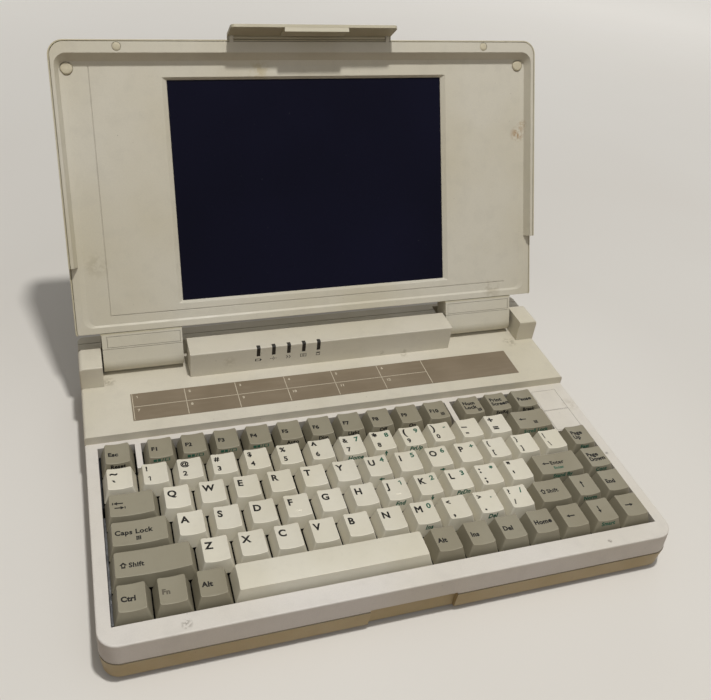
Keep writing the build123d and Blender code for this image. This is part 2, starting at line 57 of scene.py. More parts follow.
# Width in key units from which a key is a rounded bar with three stems
LONG_KEY = 3
STEM_HALF = 2
STEM_APART = 38
KEY_TOP_INSET = 2.65
KEY_TOP_HALF_DEPTH = 7.4
KEY_TOP_SHIFT = 0.6
DISH_DEPTH = 0.8
SPACE_BAR_CURVE = 60.0
KEY_EDGE = 0.28
BUMP_SIZE = (1.6, 0.8, 0.75)
BUMP_Y = -2.9
BUMP_FOOT_Z = KEY_TOP_Z - 0.95
STRIP_TOP = 32.25
STRIP_LEFT = -126.7
STRIP_Y = (34.2, 58.0)
CELL_WIDTH = 31.6
CELLS = 6
BAR_FRONT = 67.9
WINDOW_X = [-45.5 + 9.95 * i for i in range(5)]
SIGN_Z = 40.0
SIGN_SCALE = 1.35
HINGE_Y = 84.5
HINGE_Z = 39.3
LID_TILT = 64.2
RIM = 12.5
SEAM_Z = 14.3
PORT_Z = 21.0
INK_LIFT = 0.02
FRONT_INK_LIFT = 0.05
INK_THICKNESS = 0.02
# Height of a capital as a share of the size of the type
CAPITAL_SHARE = 0.69
ARROW_HEAD = 2.0
ARROW_SPREAD = 1.1
ARROW_SHAFT = 0.75

# Camera and lamps
CAMERA_PLACE = (-0.13998, -0.35838, 0.36642)
CAMERA_RIGHT = (0.95532, -0.28094, 0.09187)
CAMERA_UP = (0.09161, 0.57692, 0.81165)
CAMERA_BACK = (-0.28102, -0.76697, 0.57688)
CAMERA_LENS = 40.70
CAMERA_SHIFT = (0.0275, -0.0525)
# The lamp overhead, and the direction, level and width in degrees of the weak one from behind
LAMP_PLACE = (0.025, -0.185, 1.2)
LAMP_POWER = 8.7
LAMP_WIDTH = 0.08
LAMP_COLOUR = (1.0, 0.985, 0.96)
REAR_DIRECTION = (0.5, 0.85, 0.12)
REAR_LEVEL = 0.4
REAR_WIDTH = 30
# Light from all round, and more of it from two directions
SKY_BASE = 0.07
SKY = {(0.0, 0.0, 1.0): 0.22, (0.36, -0.93, 0.0): 0.41}
WALL_TONE = (224, 222, 219)
# The floor as direct rays see it, and as it lights the object. Between the two distances of
# FLOOR_FADE the first gains a glow, because the lamp fades there.
FLOOR_RADIUS = 8
FLOOR_SIDES = 64
FLOOR_TONES = ((226, 223, 217), (222, 218, 211))
FLOOR_BOUNCE = (0.19, 0.11, 0.05, 1.0)
FLOOR_FADE = (0.3, 1.3)
FLOOR_GLOW = 0.5


# Shapes


def merged(solids):
    """Several (points, faces) pairs as one pair."""
    points = []
    faces = []
    start = 0
    for solid_points, solid_faces in solids:
        points.append(solid_points)
        faces += [tuple(int(corner) + start for corner in face) for face in solid_faces]
        start += len(solid_points)
    return np.concatenate(points), faces


def closed_rings(rings):
    """Skin over rings of points from the first to the last, facing out, with a fan at each end."""
    count, around, _ = rings.shape
    k, i = np.meshgrid(np.arange(count - 1), np.arange(around), indexing="ij")
    here = k * around + i
    beside = k * around + (i + 1) % around
    quads = np.stack([here, beside, beside + around, here + around], axis=-1).reshape(-1, 4)
    step = np.arange(around)
    following = (step + 1) % around
    first_pole = np.full(around, count * around)
    first_fan = np.stack([first_pole, following, step], axis=-1)
    last = (count - 1) * around
    last_fan = np.stack([last + step, last + following, first_pole + 1], axis=-1)
    poles = np.stack([rings[0].mean(axis=0), rings[-1].mean(axis=0)])
    points = np.concatenate([rings.reshape(-1, 3), poles])
    return points, quads.tolist() + first_fan.tolist() + last_fan.tolist()


def rounded_outline(half_x, half_y, radius, side):
    """Rounded rectangle: a quarter circle at each corner, then even steps to the next corner."""
    outline = []
    for quarter in range(4):
        angle = np.linspace(quarter * pi / 2, (quarter + 1) * pi / 2, 7)
        x = (half_x - radius) * (1 if quarter in (0, 3) else -1) + radius * np.cos(angle)
        y = (half_y - radius) * (1 if quarter < 2 else -1) + radius * np.sin(angle)
        outline.append(np.stack([x, y], axis=1))
    rows = []
    for quarter in range(4):
        share = np.linspace(0, 1, side + 1)[1:-1, None]
        start = outline[quarter][-1]
        end = outline[(quarter + 1) % 4][0]
        rows += [outline[quarter], start + (end - start) * share]
    return np.concatenate(rows)


def ring_stack(profile, angle):
    """Rings round the Z axis, one for each (radius, height) pair, with a point at each angle."""
    radius, height = np.array(profile, dtype=float).T[:, :, None]
    height = np.broadcast_to(height, (len(profile), len(angle)))
    return np.stack([radius * np.cos(angle), radius * np.sin(angle), height], axis=-1)


def turned(profile, around=40):
    """Profile carried round the Z axis, from the underside to the top."""
    return closed_rings(ring_stack(profile, np.linspace(0, 2 * pi, around, endpoint=False)))


def moved(solid, x=0.0, y=0.0, z=0.0):
    points, faces = solid
    return points + np.array([x, y, z]), faces


def on_lid(solid):
    """From the lid's own axes (across, up the screen, out of it) to the opened machine."""
    points, faces = solid
    across, up, out = points.T
    tilt = radians(LID_TILT)
    y = HINGE_Y + up * cos(tilt) - out * sin(tilt)
    z = HINGE_Z + up * sin(tilt) + out * cos(tilt)
    return np.stack([across, y, z], axis=1), faces


def facing_back(solid):
    """From a shape drawn facing +Z to one that faces +Y, its own Y axis up."""
    points, faces = solid
    x, y, z = points.T
    return np.stack([-x, z, y], axis=1), faces


def block(x, y, z):
    """Closed box between the limits on each axis."""
    corners = np.array([(a, b, c) for c in z for b in y for a in x], dtype=float)
    faces = [(0, 2, 3, 1), (4, 5, 7, 6), (0, 1, 5, 4), (2, 6, 7, 3), (0, 4, 6, 2), (1, 3, 7, 5)]
    return corners, faces


def add_piece(name, solid, finish, body, sharp=40):
    """Object at the origin with its place in its mesh, riding on a body."""
    points, faces = solid
    mesh = bpy.data.meshes.new(name)
    mesh.from_pydata(((points - np.array([0, CENTRE_Y, 0])) * MM).tolist(), [], faces)
    mesh.materials.append(finish)
    mesh.shade_smooth()
    mesh.set_sharp_from_angle(angle=radians(sharp))
    piece = bpy.data.objects.new(name, mesh)
    bpy.context.scene.collection.objects.link(piece)
    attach(piece, body)
    return piece


# Material nodes


def colour_value(red, green, blue):
    """Screen colour, 0 to 255, as the linear value a shader needs."""
    share = np.array([red, green, blue]) / 255
    value = np.where(share <= 0.04045, share / 12.92, ((share + 0.055) / 1.055) ** 2.4)
    return (*value.tolist(), 1.0)


class Recipe:
    """Node tree of one finish, read in the piece's Object coordinates."""

    def __init__(self, name, roughness=0.5, specular=0.4):
        self.material = bpy.data.materials.new(name)
        self.material.use_nodes = True
        self.tree = self.material.node_tree
        self.shader = self.tree.nodes["Principled BSDF"]
        self.shader.inputs["Roughness"].default_value = roughness
        self.shader.inputs["Specular IOR Level"].default_value = specular
        self.place = self.node("ShaderNodeTexCoord").outputs["Object"]

    def node(self, kind, **settings):
        made = self.tree.nodes.new(kind)
        for name, value in settings.items():
            setattr(made, name, value)
        return made

    def feed(self, socket, value):
        """Link a socket, or set it to a plain value."""
        if isinstance(value, bpy.types.NodeSocket):
            self.tree.links.new(value, socket)
        else:
            socket.default_value = value

    def noise(self, size, detail=2.0, stretch=None):
        """Noise with lumps about size millimetres across."""
        made = self.node("ShaderNodeTexNoise")
        place = self.place
        if stretch:
            mapping = self.node("ShaderNodeMapping")
            mapping.inputs["Scale"].default_value = stretch
            self.feed(mapping.inputs["Vector"], place)
            place = mapping.outputs["Vector"]
        self.feed(made.inputs["Vector"], place)
        made.inputs["Scale"].default_value = 1000 / size
        made.inputs["Detail"].default_value = detail
        return made.outputs["Fac"]

    def cells(self, size):
        """Distance to scattered points about size millimetres apart."""
        made = self.node("ShaderNodeTexVoronoi")
        self.feed(made.inputs["Vector"], self.place)
        made.inputs["Scale"].default_value = 1000 / size
        return made.outputs["Distance"]

    def spread(self, value, low, high, bottom=0.0, top=1.0):
        """Values low to high as bottom to top, held at the ends."""
        made = self.node("ShaderNodeMapRange")
        self.feed(made.inputs["Value"], value)
        for name, number in zip(("From Min", "From Max", "To Min", "To Max"), (low, high, bottom, top)):
            made.inputs[name].default_value = number
        return made.outputs["Result"]

    def product(self, first, second):
        made = self.node("ShaderNodeMath", operation="MULTIPLY")
        self.feed(made.inputs[0], first)
        self.feed(made.inputs[1], second)
        return made.outputs[0]

    def mix(self, factor, first, second):
        made = self.node("ShaderNodeMix", data_type="RGBA")
        self.feed(made.inputs["Factor"], factor)
        self.feed(made.inputs[6], first)
        self.feed(made.inputs[7], second)
        return made.outputs[2]

    def near(self, place, radius, strength):
        """1 at a place in the opened machine, fading to 0 at radius millimetres, uneven by noise."""
        made = self.node("ShaderNodeVectorMath", operation="DISTANCE")
        self.feed(made.inputs[0], self.place)
        x, y, z = place
        made.inputs[1].default_value = (x * MM, (y - CENTRE_Y) * MM, z * MM)
        fade = self.spread(made.outputs["Value"], radius * MM, 0.25 * radius * MM, 0.0, strength)
        return self.product(fade, self.spread(self.noise(radius / 2.5, 4.0), 0.42, 0.56))

    def level(self, height, reach):
        """1 at a height above the table, fading to 0 at reach millimetres from it."""
        axes = self.node("ShaderNodeSeparateXYZ")
        self.feed(axes.inputs[0], self.place)
        apart = self.node("ShaderNodeMath", operation="SUBTRACT")
        self.feed(apart.inputs[0], axes.outputs["Z"])
        apart.inputs[1].default_value = height * MM
        size = self.node("ShaderNodeMath", operation="ABSOLUTE")
        self.feed(size.inputs[0], apart.outputs[0])
        return self.spread(size.outputs[0], reach * MM, 0.5 * reach * MM)

    def rounded(self, radius):
        """Shading normal of edges rounded to a small radius."""
        made = self.node("ShaderNodeBevel", samples=4)
        made.inputs["Radius"].default_value = radius * MM
        return made.outputs["Normal"]

    def edges(self, normal):
        """1 along the edges that rounded() turns, 0 on flat stretches."""
        plain = self.node("ShaderNodeNewGeometry").outputs["Normal"]
        made = self.node("ShaderNodeVectorMath", operation="DOT_PRODUCT")
        self.feed(made.inputs[0], normal)
        self.feed(made.inputs[1], plain)
        return self.spread(made.outputs["Value"], 0.995, 0.86)

    def corners(self, reach):
        """1 in tight corners, 0 in the open."""
        made = self.node("ShaderNodeAmbientOcclusion", samples=4, only_local=True)
        made.inputs["Distance"].default_value = reach * MM
        return self.spread(made.outputs["AO"], 0.75, 0.25)

    def relief(self, height, depth, normal=None):
        """Surface grain of that depth in millimetres."""
        made = self.node("ShaderNodeBump")
        made.inputs["Distance"].default_value = depth * MM
        made.inputs["Strength"].default_value = 1.0
        self.feed(made.inputs["Height"], height)
        if normal:
            self.feed(made.inputs["Normal"], normal)
        self.feed(self.shader.inputs["Normal"], made.outputs["Normal"])

    def blotches(self, size, detail, low, high, top=1.0):
        """Noise of that size spread from low to high as 0 to top."""
        return self.spread(self.noise(size, detail), low, high, 0.0, top)

    def colour(self, value):
        self.feed(self.shader.inputs["Base Color"], value)

    def gloss(self, value):
        self.feed(self.shader.inputs["Roughness"], value)


def shade(colour, share, lift=0):
    """A screen colour made darker or lighter, as a shader value."""
    return colour_value(*[min(255, share * value + lift) for value in colour])


def moulded(name, colour, aged, dirt_and_shade=0.25, edge=0.4, roughness=0.5, marks=(), seam_shadow=0.0):
    """Moulded plastic: fine grain, slow yellowing, faint mottling, specks of grime, painted shade in
    corners, edges paler from wear and painted highlight, and a painted shadow line at a seam if asked.
    """
    recipe = Recipe(name, roughness)
    tone = recipe.mix(recipe.blotches(85, 3.0, 0.36, 0.66), colour_value(*colour), colour_value(*aged))
    dark = shade(colour, 0.80)
    tone = recipe.mix(recipe.blotches(9, 4.0, 0.50, 0.72, 0.13), tone, dark)
    tone = recipe.mix(recipe.blotches(0.7, 1.0, 0.35, 0.7, 0.10), tone, dark)
    # This colour serves both the specks of dirt and the painted shade in corners.
    grime_and_shade = colour_value(92, 78, 55)
    dots = recipe.spread(recipe.cells(7), 0.055, 0.03)
    specks = recipe.product(dots, recipe.blotches(30, 2.0, 0.48, 0.62, dirt_and_shade * 2))
    tone = recipe.mix(specks, tone, grime_and_shade)
    normal = recipe.rounded(edge)
    # Painted shade: darker in tight corners, found by ambient occlusion.
    tone = recipe.mix(recipe.product(recipe.corners(3.0), dirt_and_shade), tone, grime_and_shade)
    # Paler along rounded edges: partly wear, partly a painted highlight.
    wear_and_highlight = recipe.spread(recipe.noise(6, 3.0), 0.35, 0.65, 0.05, 0.45)
    tone = recipe.mix(recipe.product(recipe.edges(normal), wear_and_highlight), tone, shade(colour, 1.09, 6))
    for place, radius, stain, strength in marks:
        tone = recipe.mix(recipe.near(place, radius, strength), tone, colour_value(*stain))
    # Painted shadow: a dark band along the given seam height.
    if seam_shadow:
        tone = recipe.mix(recipe.level(seam_shadow, 0.5), tone, colour_value(52, 44, 32))
    recipe.colour(tone)
    haze = recipe.noise(14, 3.0)
    recipe.gloss(recipe.spread(haze, 0.35, 0.65, roughness - 0.07, roughness + 0.07))
    recipe.relief(recipe.noise(0.5, 2.0), 0.018, normal)
    return recipe.material


def key_plastic(name, colour, aged):
    """Key tops: satin, polished by fingers, each a shade apart, with painted shade in corners and a
    painted highlight along the edges.
    """
    recipe = Recipe(name, 0.42)
    tone = recipe.mix(recipe.blotches(40, 2.0, 0.38, 0.64), colour_value(*colour), colour_value(*aged))
    surface = recipe.node("ShaderNodeNewGeometry")
    dark = shade(colour, 0.86)
    tone = recipe.mix(recipe.product(surface.outputs["Random Per Island"], 0.22), tone, dark)
    tone = recipe.mix(recipe.blotches(3, 3.0, 0.52, 0.75, 0.12), tone, dark)
    # Painted shade: darker in tight corners, found by ambient occlusion.
    tone = recipe.mix(recipe.product(recipe.corners(2.0), 0.3), tone, colour_value(80, 70, 50))
    # Painted highlight: paler on the steep faces of the rounded edge between the wall and the top.
    axes = recipe.node("ShaderNodeSeparateXYZ")
    recipe.feed(axes.inputs[0], surface.outputs["Normal"])
    above_wall = recipe.spread(axes.outputs["Z"], 0.36, 0.52)
    beside_top = recipe.spread(axes.outputs["Z"], 0.96, 0.86)
    edge_highlight = recipe.product(above_wall, beside_top)
    recipe.colour(recipe.mix(recipe.product(edge_highlight, 0.7), tone, shade(colour, 1.12, 8)))
    recipe.gloss(recipe.spread(recipe.noise(5, 2.0), 0.35, 0.65, 0.34, 0.50))
    recipe.relief(recipe.noise(0.45, 2.0), 0.010)
    return recipe.material


def printed(name, colour, wear_and_highlight=0.2):
    """Thin printed ink, a little uneven."""
    recipe = Recipe(name, 0.6, 0.2)
    thin = shade(colour, 1.0, 50)
    recipe.colour(recipe.mix(recipe.blotches(0.5, 2.0, 0.5, 0.8, wear_and_highlight), colour_value(*colour), thin))
    recipe.relief(recipe.noise(0.4, 1.0), 0.004)
    return recipe.material


def strip_foil():
    """Satin brown foil with a fine cross grain and rubbed places."""
    recipe = Recipe("strip_foil", 0.42, 0.35)
    worn = colour_value(121, 108, 89)
    tone = recipe.mix(recipe.blotches(30, 3.0, 0.35, 0.65), colour_value(130, 117, 98), worn)
    streaks = recipe.noise(3, 2.0, stretch=(0.15, 1, 1))
    tone = recipe.mix(recipe.spread(streaks, 0.5, 0.75, 0, 0.15), tone, colour_value(155, 144, 124))
    recipe.colour(tone)
    recipe.relief(recipe.noise(0.6, 2.0), 0.006, recipe.rounded(0.15))
    return recipe.material


def screen_glass():
    """Near-black display with a blue cast, a soft sheen and specks of dust."""
    recipe = Recipe("screen_glass", 0.3, 0.06)
    deep = colour_value(11, 11, 26)
    tone = recipe.mix(recipe.blotches(120, 2.0, 0.3, 0.7), deep, colour_value(16, 16, 34))
    dots = recipe.spread(recipe.cells(5), 0.05, 0.02, 0, 0.5)
    dust = recipe.product(dots, recipe.blotches(22, 2.0, 0.5, 0.66))
    recipe.colour(recipe.mix(dust, tone, colour_value(120, 120, 125)))
    recipe.gloss(recipe.spread(recipe.noise(16, 3.0), 0.35, 0.65, 0.26, 0.36))
    recipe.relief(recipe.noise(0.5, 1.0), 0.003)
    return recipe.material


def window_lens():
    """Dark lamp windows with a faint smoky depth."""
    recipe = Recipe("window_lens", 0.16, 0.5)
    recipe.colour(recipe.mix(recipe.noise(2, 2.0), colour_value(22, 21, 19), colour_value(44, 41, 36)))
    recipe.relief(recipe.noise(1.5, 1.0), 0.004)
    return recipe.material


def brushed_metal(name, colour, roughness=0.35):
    """Drawn or plated metal with fine lines and dull patches."""
    recipe = Recipe(name, roughness)
    recipe.shader.inputs["Metallic"].default_value = 1.0
    dull = shade(colour, 0.72)
    recipe.colour(recipe.mix(recipe.blotches(6, 3.0, 0.4, 0.7), colour_value(*colour), dull))
    recipe.gloss(recipe.spread(recipe.noise(4, 2.0), 0.3, 0.7, roughness - 0.1, roughness + 0.12))
    recipe.relief(recipe.noise(0.5, 2.0, stretch=(1, 12, 12)), 0.006, recipe.rounded(0.2))
    return recipe.material


def circuit_board():
    """Green board with a woven base and lighter tracks."""
    recipe = Recipe("circuit_board", 0.38)
    tracks = recipe.spread(recipe.cells(3), 0.05, 0.16)
    tone = recipe.mix(tracks, colour_value(38, 92, 52), colour_value(18, 58, 34))
    recipe.colour(recipe.mix(recipe.blotches(1, 2.0, 0.4, 0.7, 0.4), tone, colour_value(30, 74, 44)))
    recipe.relief(recipe.cells(1.2), 0.03, recipe.rounded(0.2))
    return recipe.material


def rubbery(name, colour):
    """Soft matt rubber, dusty in patches."""
    recipe = Recipe(name, 0.72, 0.25)
    pale = shade(colour, 1.0, 26)
    recipe.colour(recipe.mix(recipe.blotches(3, 3.0, 0.45, 0.7, 0.6), colour_value(*colour), pale))
    recipe.gloss(recipe.spread(recipe.noise(2, 2.0), 0.3, 0.7, 0.62, 0.82))
    recipe.relief(recipe.noise(0.8, 2.0), 0.02)
    return recipe.material


# Finishes


def lid_point(across, up, out):
    """One place on the opened lid, for a mark."""
    return tuple(on_lid((np.array([[across, up, out]], dtype=float), []))[0][0])


# Each mark or stain: its place, radius, colour and strength
BEZEL_MARKS = [
    (lid_point(145.2, 129.9, 7), 6.0, (150, 112, 62), 0.75),
    (lid_point(148.5, 136.0, 7), 4.0, (160, 128, 80), 0.5),
    (lid_point(116.6, 54.7, 6.2), 11.0, (200, 194, 176), 0.35),
    (lid_point(-33.0, 172.7, 7), 8.0, (168, 150, 96), 0.45),
    (lid_point(-139.0, 60.0, 6.2), 9.0, (150, 140, 112), 0.35),
    (lid_point(125.0, 24.0, 6.2), 8.0, (140, 128, 100), 0.4),
]
FRAME_MARKS = [
    ((-114.3, -101.0, 26.5), 3.2, (120, 112, 98), 0.8),
    ((114.3, -101.7, 26.5), 1.6, (110, 100, 88), 0.9),
    ((150.1, -41.3, 26.5), 1.3, (40, 34, 30), 1.0),
    ((150.5, 4.0, 26.5), 7.0, (170, 160, 140), 0.35),
]
DECK_MARKS = [
    ((136.0, 67.0, 32.0), 6.0, (120, 108, 84), 0.4),
    ((-138.5, 72.0, 32.0), 5.0, (110, 98, 74), 0.45),
    ((55.0, 66.5, 32.0), 4.0, (140, 128, 104), 0.35),
]
BAR_MARKS = [
    ((39.6, 67.9, 34.5), 2.2, (120, 112, 90), 0.45),
    ((55.4, 67.9, 33.0), 2.8, (120, 112, 90), 0.45),
    ((-64.0, 67.9, 41.0), 5.0, (150, 140, 114), 0.3),
]

lid_plastic = moulded("lid_plastic", (202, 197, 182), (194, 187, 166), marks=BEZEL_MARKS)
back_plastic = moulded("back_plastic", (194, 187, 163), (184, 175, 146), dirt_and_shade=0.2)
deck_plastic = moulded("deck_plastic", (209, 203, 188), (201, 194, 174), marks=DECK_MARKS)
bar_plastic = moulded("bar_plastic", (205, 199, 184), (198, 191, 171), dirt_and_shade=0.2, edge=0.3, marks=BAR_MARKS)
frame_plastic = moulded("frame_plastic", (217, 212, 205), (212, 206, 194), dirt_and_shade=0.18, marks=FRAME_MARKS)
# The tray gets the most painted shade in corners, and a painted shadow line at the seam.
tray_plastic = moulded("tray_plastic", (200, 184, 145), (188, 170, 129), dirt_and_shade=0.45, seam_shadow=SEAM_Z)
# Painted shade: the lid's plastic made darker for the flap's shaded underside.
shaded_flap_plastic = moulded("shaded_flap_plastic", (180, 173, 150), (172, 164, 140), dirt_and_shade=0.3)
# Painted light: the latch plastic made lighter for the hook's lit face.
lit_hook_plastic = moulded("lit_hook_plastic", (192, 186, 166), (184, 176, 152), dirt_and_shade=0.2, edge=0.2)
knob_plastic = moulded("knob_plastic", (150, 143, 124), (142, 134, 114), dirt_and_shade=0.3, edge=0.3)
guide_plastic = moulded("guide_plastic", (22, 21, 20), (28, 26, 24), dirt_and_shade=0.1, edge=0.2, roughness=0.85)
cell_wrap = moulded("cell_wrap", (70, 72, 76), (60, 62, 66), dirt_and_shade=0.1, roughness=0.4)
light_keys = key_plastic("light_keys", (217, 212, 196), (211, 205, 186))
dark_keys = key_plastic("dark_keys", (147, 141, 122), (140, 133, 113))
black_ink = printed("black_ink", (28, 26, 24))
green_ink = printed("green_ink", (44, 92, 74))
grey_ink = printed("grey_ink", (96, 90, 78))
pale_ink = printed("pale_ink", (196, 186, 166), 0.35)
foil = strip_foil()
glass = screen_glass()
lens = window_lens()
steel = brushed_metal("steel", (176, 178, 182))
dark_steel = brushed_metal("dark_steel", (92, 90, 86), roughness=0.5)
gold = brushed_metal("gold", (214, 176, 92), roughness=0.3)
board = circuit_board()
pad_rubber = rubbery("pad_rubber", (190, 182, 158))
foot_rubber = rubbery("foot_rubber", (36, 35, 34))

NODE_FINISHES = {
    "lower_housing": tray_plastic,
    "keyboard_frame": frame_plastic,
    "rear_deck": deck_plastic,
    "status_bar": bar_plastic,
    "status_windows": lens,
    "label_strip": foil,
    "filler_plates": frame_plastic,
    "keyboard_plate": guide_plastic,
    "key_guides": guide_plastic,
    "main_board": board,
    "floppy_drive": tray_plastic,
    "eject_button": knob_plastic,
    "hard_drive": steel,
    "battery_pack": cell_wrap,
    "battery_cover": tray_plastic,
    "port_connectors": steel,
    "power_jack": guide_plastic,
    "power_switch": knob_plastic,
    "rubber_feet": foot_rubber,
    "case_screws": steel,
    "hinge_brackets": steel,
    "lid_back_shell": back_plastic,
    "lid_bezel": lid_plastic,
    "hinge_barrels": lid_plastic,
    "hinge_cover_plates": lid_plastic,
    "hinge_shafts": dark_steel,
    "display_panel": glass,
    "display_frame": steel,
    "inverter_board": board,
    "rim_caps": pad_rubber,
    "lid_bumpers": pad_rubber,
    "latch_pin": steel,
    "latch_flap": shaded_flap_plastic,
    "latch_hook": lit_hook_plastic,
}
for node, finish in NODE_FINISHES.items():
    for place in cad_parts[node].material_slots:
        place.material = finish


# Keys


def span(first, count):
    return [(first + i, 1.0) for i in range(count)]


# node: (row counted from the front, [(centre, width) in key units])
KEYS = {
    "keys_function": (5, span(1.75, 10)),
    "keys_system": (5, span(12.0, 3)),
    "keys_number_row": (4, span(0.5, 13)),
    "keys_upper_row": (3, span(2.0, 13)),
    "keys_home_row": (2, span(2.25, 11)),
    "keys_lower_row": (1, span(2.75, 10)),
    "key_escape": (5, [(0.5, 1.0)]),
    "key_backspace": (4, [(13.75, 1.5)]),
    "key_tab": (3, [(0.75, 1.5)]),
    "key_caps_lock": (2, [(0.875, 1.75)]),
    "key_enter": (2, [(13.625, 1.75)]),
    "key_left_shift": (1, [(1.125, 2.25)]),
    "key_right_shift": (1, [(12.875, 1.25)]),
    "key_control": (0, [(0.5, 1.0)]),
    "key_fn": (0, [(1.5, 1.0)]),
    "key_left_alt": (0, [(2.5, 1.0)]),
    "key_space": (0, [(5.75, 5.5)]),
    "key_right_alt": (0, [(9.0, 1.0)]),
    "key_arrow_up": (1, [(14.0, 1.0)]),
    "key_arrow_left": (0, [(13.0, 1.0)]),
    "key_arrow_down": (0, [(14.0, 1.0)]),
    "key_arrow_right": (0, [(15.0, 1.0)]),
}
NAVIGATION = [(10.0, 0), (11.0, 0), (12.0, 0), (15.0, 1), (15.0, 2), (15.0, 3)]
LIGHT_NODES = ("keys_number_row", "keys_upper_row", "keys_home_row", "keys_lower_row", "key_space")


def key_places(node):
    """(x, y, units) of every key of a node."""
    if node == "keys_navigation":
        places = [(centre, row, 1.0) for centre, row in NAVIGATION]
    else:
        row, keys = KEYS[node]
        places = [(centre, row, units) for centre, units in keys]
    return [
        (centre * PITCH - FIELD_HALF, FIELD_FRONT + (row + 0.5) * PITCH, units)
        for centre, row, units in places
    ]


def top_height(x, y, units):
    """Height of a key's top: a shallow trough across, or a long rounded back on the space bar."""
    if units > LONG_KEY:
        return KEY_TOP_Z - (y - KEY_TOP_SHIFT) ** 2 / (2 * SPACE_BAR_CURVE)
    half = (units * PITCH - KEY_GAP) / 2 - KEY_TOP_INSET
    return KEY_TOP_Z - DISH_DEPTH * (1 - (x / half) ** 2)


def wall_ring(units, share, shrink):
    """Outline of the tapered wall at a share of its height: one number, or one for each point."""
    half = (units * PITCH - KEY_GAP) / 2 - shrink
    side = 14 if units > LONG_KEY else 5
    low = rounded_outline(half, (PITCH - KEY_GAP) / 2 - shrink, 1.0, side=side)
    high = rounded_outline(half - KEY_TOP_INSET, KEY_TOP_HALF_DEPTH - shrink, 1.1, side=side)
    high = high + np.array([0, KEY_TOP_SHIFT])
    share = np.broadcast_to(np.asarray(share, dtype=float), len(low))[:, None]
    height = KEY_BASE_Z + share * KEY_HEIGHT
    return np.concatenate([low + (high - low) * share, height], axis=1)


def keycap(units):
    """Hollow cap: wall inside and out, a curved edge, and the top drawn in to its middle."""
    rim = wall_ring(units, 1.0, 0.0)
    top_share = (top_height(rim[:, 0], rim[:, 1], units) - KEY_BASE_Z) / KEY_HEIGHT
    crest = wall_ring(units, top_share, 0.0)
    below = wall_ring(units, top_share - KEY_EDGE / KEY_HEIGHT, 0.0)
    middle = np.array([0, KEY_TOP_SHIFT])

    def top_ring(scale, inset=0.0):
        outwards = crest[:, :2] - middle
        reach = np.linalg.norm(outwards, axis=1)[:, None]
        outline = middle + outwards * scale - outwards / reach * inset
        height = top_height(outline[:, 0], outline[:, 1], units)
        return np.concatenate([outline, height[:, None]], axis=1)

    inside = top_ring(1.0, KEY_EDGE)
    rings = [wall_ring(units, share, KEY_WALL) for share in (1 - KEY_ROOF / KEY_HEIGHT, 0.0)]
    rings.append(wall_ring(units, 0.0, 0.15))
    rings += [wall_ring(units, share, 0.0) for share in (0.02, 0.45)]
    rings.append(wall_ring(units, top_share - 1.6 * KEY_EDGE / KEY_HEIGHT, 0.0))
    for s in (0, 0.2, 0.4, 0.6, 0.8, 1.0):
        rings.append((1 - s) ** 2 * below + 2 * s * (1 - s) * crest + s ** 2 * inside)
    rings.append(top_ring(1.0, 1.6 * KEY_EDGE))
    rings += [top_ring(scale) for scale in (0.88, 0.72, 0.55, 0.36, 0.16)]
    return closed_rings(np.stack(rings))


def stem(units):
    """Square stems under the cap."""
    offsets = (-STEM_APART, 0, STEM_APART) if units > LONG_KEY else (0,)
    square = (-STEM_HALF, STEM_HALF)
    height = (KEY_BASE_Z - 0.1, KEY_TOP_Z - KEY_ROOF - 0.2)
    return [moved(block(square, square, height), x) for x in offsets]


def homing_bump():
    """Low oval bump: a half ellipsoid in rings."""
    half_x, half_y, rise = BUMP_SIZE
    lift = np.linspace(0, 0.94, 6)[:, None] * pi / 2
    angle = np.linspace(0, 2 * pi, 24, endpoint=False)
    x = half_x * np.cos(lift) * np.cos(angle)
    y = half_y * np.cos(lift) * np.sin(angle)
    z = np.broadcast_to(BUMP_FOOT_Z + rise * np.sin(lift), x.shape)
    return moved(closed_rings(np.stack([x, y, z], axis=-1)), y=BUMP_Y)


KEY_WIDTHS = (1.0, 1.25, 1.5, 1.75, 2.25, 5.5)
CAPS = {units: merged([keycap(units)] + stem(units)) for units in KEY_WIDTHS}

for node in [*KEYS, "keys_navigation"]:
    caps = [moved(CAPS[units], x, y) for x, y, units in key_places(node)]
    if node == "keys_home_row":
        caps += [moved(homing_bump(), *key_places(node)[index][:2]) for index in (3, 6)]
    finish, slot = (light_keys, "key_light") if node in LIGHT_NODES else (dark_keys, "key_dark")
    piece = add_piece("caps_" + node, merged(caps), finish, node)
    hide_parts(node)


# Key legends


def flat(points, faces):
    """Flat shape from (x, y) points."""
    points = np.array(points, dtype=float)
    return np.concatenate([points, np.zeros((len(points), 1))], axis=1), faces


def lettering(text, height, slant=0.0, bold=0.058):
    """Text from the origin, its capitals height millimetres high: low ink, made bold by a bevel."""
    if text == "1":
        return figure_one(height)
    curve = bpy.data.curves.new("lettering", "FONT")
    curve.body = text
    curve.size = height / CAPITAL_SHARE
    curve.bevel_depth = bold * height
    curve.bevel_resolution = 0
    curve.shear = slant
    curve.resolution_u = 4
    curve.space_character = 1.08
    holder = bpy.data.objects.new("lettering", curve)
    mesh = bpy.data.meshes.new_from_object(holder)
    points = np.empty(len(mesh.vertices) * 3)
    mesh.vertices.foreach_get("co", points)
    faces = [tuple(face.vertices) for face in mesh.polygons]
    bpy.data.objects.remove(holder)
    bpy.data.curves.remove(curve)
    bpy.data.meshes.remove(mesh)
    points = points.reshape(-1, 3)
    points[:, 2] *= INK_THICKNESS / (2 * bold * height)
    return points, faces


